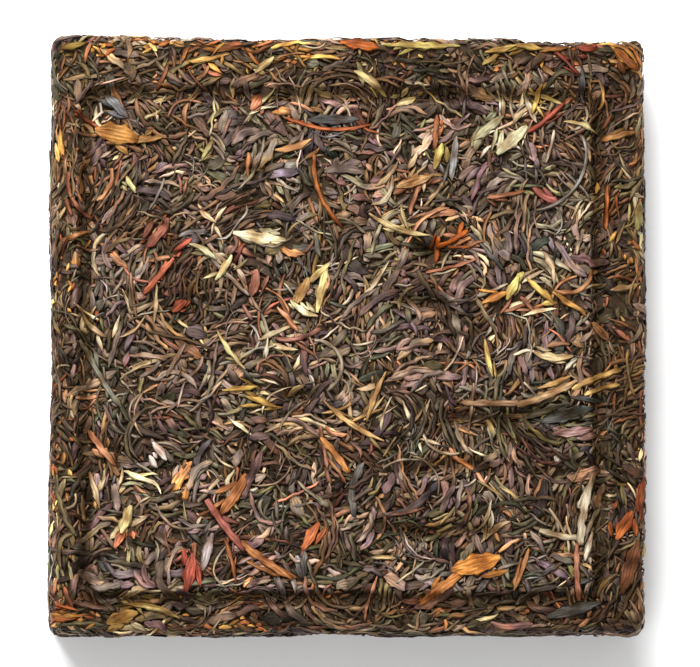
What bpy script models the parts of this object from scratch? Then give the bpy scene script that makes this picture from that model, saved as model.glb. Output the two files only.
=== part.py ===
"""A square brick of pressed tea leaf.

The brick lies flat, with its pressed face up. Its origin is on the ground under its
middle, X and Y run along its sides and Z up. The mould leaves a narrow line all round
the face, further in from some sides than from others. Outside that line the rim falls
away a little, and inside it the panel dips in long, soft hollows. The base is flat.
"""

import math

import bpy
from mathutils import Vector, noise

SIDE = 0.1005
THICKNESS = 0.020
EDGE_RADIUS = 0.0020  # of all its edges and corners

# From the brick's sides to the middle of the line pressed into its face.
LINE_LEFT = 0.0058
LINE_RIGHT = 0.0082
LINE_FRONT = 0.0058
LINE_BACK = 0.0096

LINE_WIDTH = 0.0028
LINE_DEPTH = 0.0013
LINE_TURN = 0.0025  # radius of the line's corners

# The rim outside the line.
RIM_FALL = 0.0060  # over which it falls away from the line
RIM_DROP = 0.0005

# The hollows in the panel, longer along X than along Y.
HOLLOW_LENGTH = 0.020
HOLLOW_WIDTH = 0.010
HOLLOW_DEPTH = 0.0009
HOLLOW_EDGE = 1.8  # how steeply a hollow's edge falls
PANEL_MARGIN = 0.004  # over which the hollows fade out next to the line

# How far the sides wander from true, and over what distance.
WANDER = 0.0007
WANDER_LENGTH = 0.014
WANDER_HEIGHT = 0.012
WANDER_FALL = 8  # the power of the distance from the middle by which it fades inwards

PANEL_CELLS = 23  # across the panel
WALL_CELLS = 3  # up the straight part of a side

HALF = SIDE / 2
MIDDLE_X = (LINE_LEFT - LINE_RIGHT) / 2  # of the rectangle that the line goes round
MIDDLE_Y = (LINE_FRONT - LINE_BACK) / 2
REACH_X = HALF - (LINE_LEFT + LINE_RIGHT) / 2
REACH_Y = HALF - (LINE_FRONT + LINE_BACK) / 2
HALF_ARC = math.tan(math.radians(22.5))  # places a row of points halfway round each edge

LEAF_COLOUR = (0.075, 0.048, 0.030, 1.0)
LEAF_ROUGHNESS = 0.7


def smooth_step(value):
    """0 below 0, 1 above 1, and a smooth rise between."""
    held = min(max(value, 0.0), 1.0)
    return held * held * (3.0 - 2.0 * held)


def edge_stations(line_inset):
    """Distances in from one side, over the rounded edge, the rim and the line."""
    edge = [0.0, EDGE_RADIUS * (1.0 - HALF_ARC), EDGE_RADIUS]
    line = [line_inset + LINE_WIDTH * share for share in (-0.5, -0.25, 0.0, 0.25, 0.5)]
    rim = (edge[-1] + line[0]) / 2.0
    return edge + [rim] + line


def across_stations(low_inset, high_inset):
    """Where the grid's lines cross the brick, given the line's inset from either side."""
    low = [inset - HALF for inset in edge_stations(low_inset)]
    high = [HALF - inset for inset in edge_stations(high_inset)]
    panel = high[-1] - low[-1]
    middle = [low[-1] + panel * cell / PANEL_CELLS for cell in range(1, PANEL_CELLS)]
    return low + middle + high[::-1]


def height_stations():
    """Where the grid's lines cross the sides, from the ground up."""
    edge = [0.0, EDGE_RADIUS * (1.0 - HALF_ARC), EDGE_RADIUS]
    wall = THICKNESS - 2.0 * EDGE_RADIUS
    middle = [EDGE_RADIUS + wall * cell / WALL_CELLS for cell in range(1, WALL_CELLS)]
    return edge + middle + [THICKNESS - height for height in reversed(edge)]


def rounded(point):
    """The point of the rounded brick that belongs to a point of the sharp-edged one."""
    reach = HALF - EDGE_RADIUS
    inner = Vector((
        min(max(point.x, -reach), reach),
        min(max(point.y, -reach), reach),
        min(max(point.z, EDGE_RADIUS), THICKNESS - EDGE_RADIUS),
    ))
    return inner + (point - inner).normalized() * EDGE_RADIUS


def inside_line(x, y):
    """Distance in from the middle of the line, below 0 on the rim. The line turns on an arc."""
    past_x = abs(x - MIDDLE_X) - (REACH_X - LINE_TURN)
    past_y = abs(y - MIDDLE_Y) - (REACH_Y - LINE_TURN)
    if past_x > 0.0 and past_y > 0.0:
        return LINE_TURN - math.hypot(past_x, past_y)
    return LINE_TURN - max(past_x, past_y)


def line_depth(inside):
    """Depth of the pressed line at a distance in from its middle."""
    off = inside / (LINE_WIDTH / 2.0)
    return LINE_DEPTH * max(0.0, 1.0 - off * off)


def hollow_depth(x, y, inside):
    """Depth of the panel's soft hollows."""
    wave = noise.noise(Vector((x / HOLLOW_LENGTH, y / HOLLOW_WIDTH, 0.0)))
    panel = smooth_step((inside - LINE_WIDTH / 2.0) / PANEL_MARGIN)
    return HOLLOW_DEPTH * panel * smooth_step(0.5 + HOLLOW_EDGE * wave)


def face_depth(x, y):
    """How far the pressed face lies below the brick's full thickness."""
    inside = inside_line(x, y)
    rim = RIM_DROP * smooth_step(-inside / RIM_FALL)
    return rim + line_depth(inside) + hollow_depth(x, y, inside)


def wander(across, along, height, lane):
    """How far one side stands out of true. It fades to nothing inside the brick."""
    side = math.copysign(1.0, across)
    wave = noise.noise(Vector((lane + side, along / WANDER_LENGTH, height / WANDER_HEIGHT)))
    return side * WANDER * wave * (abs(across) / HALF) ** WANDER_FALL


def pressed(point):
    """Sinks the face by its relief, and lets the sides wander."""
    x, y, z = point
    lift = smooth_step((z - THICKNESS / 2.0) / (THICKNESS / 2.0 - EDGE_RADIUS))
    return Vector((
        x + wander(x, y, z, lane=2.5),
        y + wander(y, x, z, lane=7.5),
        z - lift * face_depth(x, y),
    ))


def centred(points):
    """Moves the points so that their box stands on the origin, centred over it."""
    middle_x = (min(p.x for p in points) + max(p.x for p in points)) / 2.0
    middle_y = (min(p.y for p in points) + max(p.y for p in points)) / 2.0
    return [Vector((p.x - middle_x, p.y - middle_y, p.z)) for p in points]


def box_grid():
    """The points and faces of a sharp-edged box, ruled with the grid's lines on all six sides."""
    across_x = across_stations(LINE_LEFT, LINE_RIGHT)
    across_y = across_stations(LINE_FRONT, LINE_BACK)
    up = height_stations()
    last, top = len(across_x) - 1, len(up) - 1
    index, points, faces = {}, [], []

    def corner(i, j, k):
        if (i, j, k) not in index:
            index[i, j, k] = len(points)
            points.append(Vector((across_x[i], across_y[j], up[k])))
        return index[i, j, k]

    def face(*corners):
        faces.append([corner(*place) for place in corners])

    for i in range(last):
        for j in range(last):
            face((i, j, top), (i + 1, j, top), (i + 1, j + 1, top), (i, j + 1, top))
            face((i, j, 0), (i, j + 1, 0), (i + 1, j + 1, 0), (i + 1, j, 0))
    for i in range(last):
        for k in range(top):
            face((i, 0, k), (i + 1, 0, k), (i + 1, 0, k + 1), (i, 0, k + 1))
            face((i, last, k), (i, last, k + 1), (i + 1, last, k + 1), (i + 1, last, k))
            face((0, i, k), (0, i, k + 1), (0, i + 1, k + 1), (0, i + 1, k))
            face((last, i, k), (last, i + 1, k), (last, i + 1, k + 1), (last, i, k + 1))
    return points, faces


def leaf_material():
    """The dark, matt finish of pressed leaf."""
    material = bpy.data.materials.new("pressed_leaf")
    material.use_nodes = True
    shader = material.node_tree.nodes["Principled BSDF"]
    shader.inputs["Base Color"].default_value = LEAF_COLOUR
    shader.inputs["Roughness"].default_value = LEAF_ROUGHNESS
    shader.inputs["Metallic"].default_value = 0.0
    return material


def make_brick():
    """The whole brick, one solid of pressed leaf."""
    points, faces = box_grid()
    shaped = centred([pressed(rounded(point)) for point in points])
    mesh = bpy.data.meshes.new("brick")
    mesh.from_pydata(shaped, [], faces)
    mesh.materials.append(leaf_material())
    mesh.shade_smooth()
    brick = bpy.data.objects.new("brick", mesh)
    bpy.context.scene.collection.objects.link(brick)
    return brick


for old in list(bpy.data.objects):
    bpy.data.objects.remove(old)
make_brick()
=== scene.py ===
"""The looks of a square brick of pressed tea leaf.

A dark core in the brick's own form, painted as dark as the shade in the gaps between leaves,
carries thousands of leaves, buds, stems and crumbs, each a closed mesh. They are laid from the
outermost inwards: a leaf lies flush with the brick's surface where nothing covers it, and dips
under the leaves laid before it.
Lengths are in millimetres until a mesh is made.
"""

import math
from dataclasses import dataclass, replace
from types import SimpleNamespace

import bmesh
import bpy
import numpy as np
from mathutils import Matrix, Vector, noise


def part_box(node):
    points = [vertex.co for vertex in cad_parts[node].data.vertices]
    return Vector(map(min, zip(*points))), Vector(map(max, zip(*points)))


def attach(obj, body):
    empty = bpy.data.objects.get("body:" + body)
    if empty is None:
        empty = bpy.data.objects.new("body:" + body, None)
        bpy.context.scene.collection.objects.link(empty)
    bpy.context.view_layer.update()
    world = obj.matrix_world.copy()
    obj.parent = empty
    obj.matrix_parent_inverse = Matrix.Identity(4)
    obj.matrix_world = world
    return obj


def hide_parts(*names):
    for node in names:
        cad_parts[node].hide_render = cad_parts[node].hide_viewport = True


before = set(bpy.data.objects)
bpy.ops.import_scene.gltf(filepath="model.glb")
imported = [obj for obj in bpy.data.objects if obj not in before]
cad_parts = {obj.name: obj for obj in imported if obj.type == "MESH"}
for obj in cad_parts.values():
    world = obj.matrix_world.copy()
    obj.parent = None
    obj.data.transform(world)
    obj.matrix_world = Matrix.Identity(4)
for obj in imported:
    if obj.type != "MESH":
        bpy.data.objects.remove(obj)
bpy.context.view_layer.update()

MM = 0.001
rng = np.random.default_rng(20)

# The brick's form, with the same measures as its solid.
EDGE_RADIUS = 2.0
LINE_LEFT, LINE_RIGHT, LINE_FRONT, LINE_BACK = 5.8, 8.2, 5.8, 9.6
LINE_WIDTH, LINE_DEPTH, LINE_TURN = 2.8, 1.3, 2.5
RIM_FALL, RIM_DROP = 6.0, 0.5
HOLLOW_LENGTH, HOLLOW_WIDTH, HOLLOW_DEPTH, HOLLOW_EDGE = 20.0, 10.0, 0.9, 1.8
PANEL_MARGIN = 4.0
WANDER, WANDER_LENGTH, WANDER_HEIGHT, WANDER_FALL = 0.7, 14.0, 12.0, 8
WANDER_LANES = (2.5, 7.5)  # which part of the noise the sides across X and Y follow
WANDER_OUT = 0.4  # how far the sides' bulges stand past the true sides

# Finer unevenness of the face, which the solid leaves out.
DIMPLE_LENGTH, DIMPLE_WIDTH, DIMPLE_DEPTH = 5.0, 3.2, 0.5
CREASE_DEPTH, CREASE_WIDTH, CREASE_FADE = 1.3, 1.2, 4.0

# Painted shade: how much darker the leaf is in the line, creases, hollows, on the rim and at corners.
LINE_SHADE, CREASE_SHADE, RIM_SHADE, HOLLOW_SHADE = 0.8, 0.8, 0.48, 0.16
CORNER_SHADE, CORNER_REACH = 0.18, 12.0
MOST_SHADE = 0.85
# Painted shade on leaves that lie under others.
SUNK_SHADE = 0.5  # how much darker a leaf is that lies under others

lowest, highest = (np.array(corner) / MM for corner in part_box("brick"))
LOW = lowest + np.array([WANDER_OUT, WANDER_OUT, 0.0])
HIGH = highest - np.array([WANDER_OUT, WANDER_OUT, 0.0])
HALF_SIDE = float(HIGH[0] - LOW[0]) / 2.0
HEIGHT = float(HIGH[2] - LOW[2])

# How leaves are laid.
SAMPLES = 41  # places along a leaf while it is laid
LANES = np.linspace(-0.92, 0.92, 9)  # places across it, in half widths
LANE_THICKNESS = 1.0 - 0.55 * LANES ** 2
INNER_LANES = slice(2, 7)
CELL = 0.28  # of the map of what is covered
DIP = 0.6  # the steepest that a leaf dips under another
DEEPEST = 1.5  # a leaf below this can't be seen
LEAST_SEEN = 0.10  # share of a leaf that has to show, or it is left out
CORE_DEPTH = 1.35
EDGE_FILL, EDGE_REACH = 0.45, 5.0  # how much less it is next to the brick's edges
CORE_CUTS = 58

# How the leaves of one bunch differ from each other.
BUNCH_STEP = 0.72  # from one to the next beside it, in mean widths
BUNCH_SPREAD = 0.45  # off that place, in mean widths
BUNCH_REACH = 0.22  # lengthways, in leaf lengths
BUNCH_TINT = 0.5  # share of its leaves in the bunch's own colour
BUNCH_TONE, LEAF_TONE = 0.22, 0.14  # spreads of brightness, of bunches and of leaves in one

# How bunches lie: in broad swirls, with some across them.
SWIRL, SWIRL_TURNS, SWIRL_SPREAD, SWIRL_SHARE = 11.0, 1.4, 0.45, 0.6
KINK = 0.42  # radians a millimetre
MOST_TURN = 2.0  # radians, from one end of a leaf to the other, its kinks apart
PATCH, PATCH_TONE = 12.0, 0.42  # patches of brighter and darker leaf
# Painted light: the leaf is painted brighter at the back and darker at the front, as the key light
# falls from behind.
PAINTED_BACK_LIGHT = 0.07  # how much brighter the leaf is at the back, and darker at the front

# Patches of warmer and of cooler leaf.
HUE_PATCH, HUE_SHIFT = 7.0, (0.08, 0.0, -0.08)
HUE_SPREAD = 0.013  # of each leaf's own red, green and blue

# How steeply red, green and blue fall with the tone: what is darker is browner.
DEEPENING, LEAF_DEEPENING = (0.84, 1.0, 1.36), (0.96, 1.0, 1.08)

# What a leaf's colour turns to in places along it, as shares of its own colour.
PALER, PALER_SHARE = (1.34, 1.27, 1.12), 0.25
DARKER = (0.66, 0.64, 0.66)
PLACED_OTHER = (0.76, 0.68, 0.62)
LEAST_TINT, MOST_TINT = 0.02, (0.86, 0.79, 0.64)  # that a drawn leaf takes

# How a leaf is folded along its length.
FOLD_WIDTH = 0.27  # from a ridge to the next valley
# Painted light on the folds: ridges painted paler as if lit, valleys darker as if shaded.
FOLD_PAINTED_LIGHT = 0.8  # how much paler its ridges are than its valleys

FACE, WALL, BASE = 0, 1, 2


def smooth_step(value):
    """0 below 0, 1 above 1, and a smooth rise between."""
    held = np.clip(value, 0.0, 1.0)
    return held * held * (3.0 - 2.0 * held)


def unit(vectors):
    """The vectors, each made one long."""
    return vectors / np.linalg.norm(vectors, axis=-1, keepdims=True)


def pick(leaves, mask):
    """The leaves that a mask marks."""
    return SimpleNamespace(**{name: values[mask] for name, values in vars(leaves).items()})


def gather(batches):
    """Joins batches of leaves into one."""
    return SimpleNamespace(**{
        name: np.concatenate([getattr(batch, name) for batch in batches])
        for name in vars(batches[0])
    })


# ------------------------------------------------------------ the brick's form

def noise_field(span_u, span_v, place, pitch=0.5):
    """Smooth noise over a rectangle, read by interpolation from a grid of its values."""
    us = np.arange(span_u[0], span_u[1] + pitch, pitch)
    vs = np.arange(span_v[0], span_v[1] + pitch, pitch)
    grid = np.array([[noise.noise(Vector(place(u, v))) for v in vs] for u in us])

    def read(u, v):
        i = np.clip((u - us[0]) / pitch, 0.0, len(us) - 1.001)
        j = np.clip((v - vs[0]) / pitch, 0.0, len(vs) - 1.001)
        a, b = i.astype(int), j.astype(int)
        i, j = i - a, j - b
        near = grid[a, b] * (1.0 - j) + grid[a, b + 1] * j
        far = grid[a + 1, b] * (1.0 - j) + grid[a + 1, b + 1] * j
        return near * (1.0 - i) + far * i

    return read


ALONG = (-HALF_SIDE - 3.0, HALF_SIDE + 3.0)
UPWARD = (-3.0, HEIGHT + 3.0)


def wander_field(lane):
    """The noise that one side of the brick follows, over its length and height."""
    return noise_field(
        ALONG, UPWARD, lambda along, up: (lane, along / WANDER_LENGTH, up / WANDER_HEIGHT)
    )


hollows = noise_field(ALONG, ALONG, lambda x, y: (x / HOLLOW_LENGTH, y / HOLLOW_WIDTH, 0.0))
swirls = noise_field(ALONG, ALONG, lambda x, y: (x / SWIRL, y / SWIRL, 9.0))
patches = noise_field(ALONG, ALONG, lambda x, y: (x / PATCH, y / PATCH, 17.0))
hues = noise_field(ALONG, ALONG, lambda x, y: (x / HUE_PATCH, y / HUE_PATCH, 29.0))
dimples = noise_field(ALONG, ALONG, lambda x, y: (x / DIMPLE_LENGTH, y / DIMPLE_WIDTH, 5.0))
wanders = [(wander_field(lane + 1.0), wander_field(lane - 1.0)) for lane in WANDER_LANES]


@dataclass
class Crease:
    """A narrow fold in the face, dark with painted shade: its middle, heading in degrees and length.
    """

    x: float
    y: float
    heading: float
    length: float


CREASES = [
    Crease(16.5, -22.0, 1, 20.0),
    Crease(14.5, -33.0, -1, 26.0),
    Crease(28.0, -13.6, 4, 28.0),
    Crease(-15.5, 27.8, -6, 9.0),
    Crease(12.0, 5.5, 2, 13.0),
    Crease(-9.0, -10.5, -12, 9.0),
    Crease(14.0, 15.0, -4, 10.0),
]


def crease_share(x, y):
    """How deep in a crease each place lies, from 0 to 1."""
    deepest = np.zeros(np.shape(x))
    for crease in CREASES:
        angle = math.radians(crease.heading)
        ahead = (x - crease.x) * math.cos(angle) + (y - crease.y) * math.sin(angle)
        aside = (y - crease.y) * math.cos(angle) - (x - crease.x) * math.sin(angle)
        aside = aside + 0.5 * np.sin(0.45 * ahead + crease.x)
        ends = smooth_step((0.5 * crease.length - np.abs(ahead)) / CREASE_FADE)
        deepest = np.maximum(deepest, ends * np.exp(-((aside / CREASE_WIDTH) ** 2)))
    return deepest


def inside_line(x, y):
    """Distance in from the middle of the line, below 0 on the rim. The line turns on an arc."""
    reach_x = HALF_SIDE - (LINE_LEFT + LINE_RIGHT) / 2.0 - LINE_TURN
    reach_y = HALF_SIDE - (LINE_FRONT + LINE_BACK) / 2.0 - LINE_TURN
    past_x = np.abs(x - (LINE_LEFT - LINE_RIGHT) / 2.0) - reach_x
    past_y = np.abs(y - (LINE_FRONT - LINE_BACK) / 2.0) - reach_y
    corner = np.hypot(np.maximum(past_x, 0.0), np.maximum(past_y, 0.0))
    off = np.where((past_x > 0.0) & (past_y > 0.0), corner, np.maximum(past_x, past_y))
    return LINE_TURN - off


def face_relief(x, y):
    """Shares of 0 to 1 at places on the face, for each form that lowers it."""
    inside = inside_line(x, y)
    panel = smooth_step((inside - LINE_WIDTH / 2.0) / PANEL_MARGIN)
    return SimpleNamespace(
        rim=smooth_step(-inside / RIM_FALL),
        line=np.maximum(0.0, 1.0 - (inside / (LINE_WIDTH / 2.0)) ** 2),
        hollow=panel * smooth_step(0.5 + HOLLOW_EDGE * hollows(x, y)),
        dimple=smooth_step(0.5 + 1.5 * dimples(x, y)),
        crease=crease_share(x, y),
    )


def face_depth(x, y):
    """How far the pressed face lies below the brick's full height."""
    relief = face_relief(x, y)
    broad = RIM_DROP * relief.rim + LINE_DEPTH * relief.line + HOLLOW_DEPTH * relief.hollow
    return broad + DIMPLE_DEPTH * relief.dimple + CREASE_DEPTH * relief.crease


def painted_relief_shade(points):
    """Brightness that leaves keep under painted shade in the line, creases, hollows, rim and corners.
    """
    x, y, z = np.moveaxis(points, -1, 0)
    relief = face_relief(x, y)
    # Painted shade on the rim, deeper at the right and the front, which face away from the key light.
    rim_painted_shade = np.where((x > y) | (y < -HALF_SIDE + LINE_FRONT), RIM_SHADE, 0.85 * RIM_SHADE)
    lost = LINE_SHADE * relief.line ** 0.45 + HOLLOW_SHADE * relief.hollow
    lost = lost + rim_painted_shade * smooth_step(3.0 * relief.rim)
    # Painted shade, deeper towards the brick's corners.
    nearer = np.minimum(np.abs(x), np.abs(y))
    lost = lost + CORNER_SHADE * smooth_step((nearer - HALF_SIDE + CORNER_REACH) / CORNER_REACH)
    lost = lost + CREASE_SHADE * relief.crease
    return 1.0 - np.minimum(lost, MOST_SHADE) * smooth_step((z - HEIGHT + 1.4) / 1.1)


def wander(across, along, up, fields):
    """How far one pair of sides stands out of true. It fades to nothing inside the brick."""
    wave = np.where(across > 0.0, fields[0](along, up), fields[1](along, up))
    return np.sign(across) * WANDER * wave * (np.abs(across) / HALF_SIDE) ** WANDER_FALL


def pressed(points):
    """Points of the true brick, moved to the uneven and pressed one. None sinks below the ground."""
    x, y, z = np.moveaxis(points, -1, 0)
    lift = smooth_step((z - HEIGHT / 2.0) / (HEIGHT / 2.0 - EDGE_RADIUS))
    moved = [
        x + wander(x, y, z, wanders[0]),
        y + wander(y, x, z, wanders[1]),
        np.maximum(z - lift * face_depth(x, y), 0.0),
    ]
    return np.stack(moved, axis=-1)


def on_surface(points):
    """The nearest places on the true, rounded brick, and the outward directions there."""
    inner = np.clip(points, LOW + EDGE_RADIUS, HIGH - EDGE_RADIUS)
    outward = unit(points - inner)
    return inner + EDGE_RADIUS * outward, outward


# ------------------------------------------------------------ kinds of leaf

@dataclass
class Kind:
    """One kind of leaf. Pairs are the lowest and highest of a range."""

    name: str
    crowd: float  # how many are tried on each square centimetre
    bunch: float  # how many lie side by side, on average
    length: tuple
    width: tuple
    thickness: float
    bend: float  # radians a millimetre, as a spread
    splay: float  # radians between the leaves of a bunch, as a spread
    ends: tuple  # share of the length over which it narrows at its start and its end
    tip: float  # its width at the very ends, as a share
    arch: float  # how far its edges droop, as a share of its thickness
    ridge: float  # height of its folds, as a share of its thickness
    rank: tuple  # its place in the order of laying: the lowest are laid first, on top
    tints: tuple  # colours, sRGB from 0 to 255, each as likely
    rim: float = 0.0  # how many more are tried along each centimetre of the top edge
    roughness: float = 0.55


KINDS = [
    Kind(
        "umber_strips", 40.0, 7.0, (5.0, 13.0), (0.32, 0.8), 0.20, 0.13, 0.10, (0.08, 0.16), 0.42,
        0.25, 0.28, (0.0, 1.0),
        ((92, 72, 54), (80, 61, 48), (107, 86, 67), (69, 54, 44), (89, 68, 52)), 1.5,
    ),
    Kind(
        "mauve_strips", 30.0, 2.5, (3.5, 10.0), (0.5, 1.6), 0.22, 0.12, 0.22, (0.12, 0.22), 0.28,
        0.25, 0.28, (0.0, 1.0),
        ((95, 79, 72), (83, 68, 65), (111, 94, 85), (75, 61, 57), (91, 76, 72)), 1.0, 0.48,
    ),
    Kind(
        "olive_strips", 30.0, 4.5, (4.0, 12.0), (0.35, 1.0), 0.21, 0.14, 0.14, (0.08, 0.16), 0.42,
        0.25, 0.28, (0.0, 1.0),
        ((88, 77, 60), (77, 69, 55), (104, 93, 74), (71, 65, 54), (90, 84, 69)), 1.0,
    ),
    Kind(
        "tan_strips", 9.0, 3.0, (3.5, 10.0), (0.35, 0.9), 0.24, 0.14, 0.25, (0.10, 0.20), 0.36,
        0.4, 0.25, (0.0, 0.8),
        ((126, 105, 92), (114, 94, 80), (135, 116, 101), (107, 87, 75), (118, 104, 95)), 7.0,
    ),
    Kind(
        "broad_leaves", 4.0, 1.3, (3.5, 8.0), (1.2, 2.6), 0.24, 0.10, 0.40, (0.25, 0.35), 0.2,
        0.2, 0.5, (0.1, 1.0),
        ((75, 64, 55), (67, 57, 50), (83, 72, 64), (63, 59, 54), (96, 76, 64)), 0.5,
    ),
    Kind(
        "fibres", 10.0, 2.5, (3.0, 9.0), (0.25, 0.42), 0.2, 0.2, 0.35, (0.15, 0.25), 0.3,
        0.5, 0.12, (0.0, 0.9),
        ((116, 103, 95), (93, 80, 72), (130, 113, 100), (80, 67, 60), (103, 95, 89)), 1.0,
    ),
    Kind(
        "gold_buds", 1.5, 1.6, (3.0, 8.0), (0.4, 1.2), 0.32, 0.12, 0.50, (0.25, 0.6), 0.14,
        0.5, 0.2, (0.0, 0.5),
        ((155, 142, 118), (143, 124, 98), (165, 154, 133), (134, 114, 88), (149, 136, 109)), 8.0,
    ),
    Kind(
        "rust_stems", 4.2, 1.6, (3.0, 9.5), (0.35, 0.85), 0.32, 0.12, 0.40, (0.06, 0.15), 0.5,
        0.45, 0.15, (0.0, 0.9),
        ((126, 87, 66), (114, 74, 58), (137, 97, 73), (107, 74, 61), (133, 95, 66)), 10.0,
    ),
    Kind(
        "pale_stems", 1.6, 1.2, (4.0, 12.0), (0.3, 0.55), 0.34, 0.15, 0.40, (0.05, 0.1), 0.6,
        0.45, 0.08, (0.0, 0.35),
        ((147, 132, 116), (128, 115, 105), (155, 137, 112), (116, 106, 95)), 0.5,
    ),
    Kind(
        "flakes", 1.4, 1.0, (3.0, 7.0), (1.2, 2.4), 0.22, 0.06, 0.50, (0.3, 0.4), 0.15,
        0.3, 0.45, (0.1, 0.8),
        ((128, 91, 61), (108, 79, 58), (91, 73, 58), (139, 98, 64), (80, 68, 57)), 0.6,
    ),
    Kind(
        "shreds", 85.0, 4.0, (1.6, 4.4), (0.3, 0.7), 0.25, 0.2, 0.50, (0.15, 0.2), 0.4,
        0.4, 0.2, (0.85, 1.3),
        ((81, 64, 52), (67, 53, 43), (93, 77, 65), (75, 67, 55), (103, 85, 71)), 6.0,
    ),
    Kind(
        "crumbs", 12.0, 1.5, (0.8, 2.2), (0.4, 0.9), 0.30, 0.25, 1.00, (0.25, 0.3), 0.45,
        0.5, 0.25, (0.4, 1.2),
        ((124, 99, 81), (99, 78, 64), (143, 120, 97), (82, 67, 56), (130, 94, 71)), 12.0,
    ),
]

# The listed leaves: how they narrow, their width at the tips, and how pale they are.
PLACED_TAPER, PLACED_TIP, PLACED_TONE = 0.34, 0.26, (0.80, 0.83, 0.91)
CHIP_LENGTH, CHIP_WIDTH = 9.0, 1.6  # the most that a piece broken from one is made from


@dataclass
class Feature:
    """A listed leaf: its middle from the face's middle, and its heading in degrees."""

    kind: str
    x: float
    y: float
    heading: float
    length: float
    width: float
    bend: float  # degrees over its length, positive to the left
    tint: tuple


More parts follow.
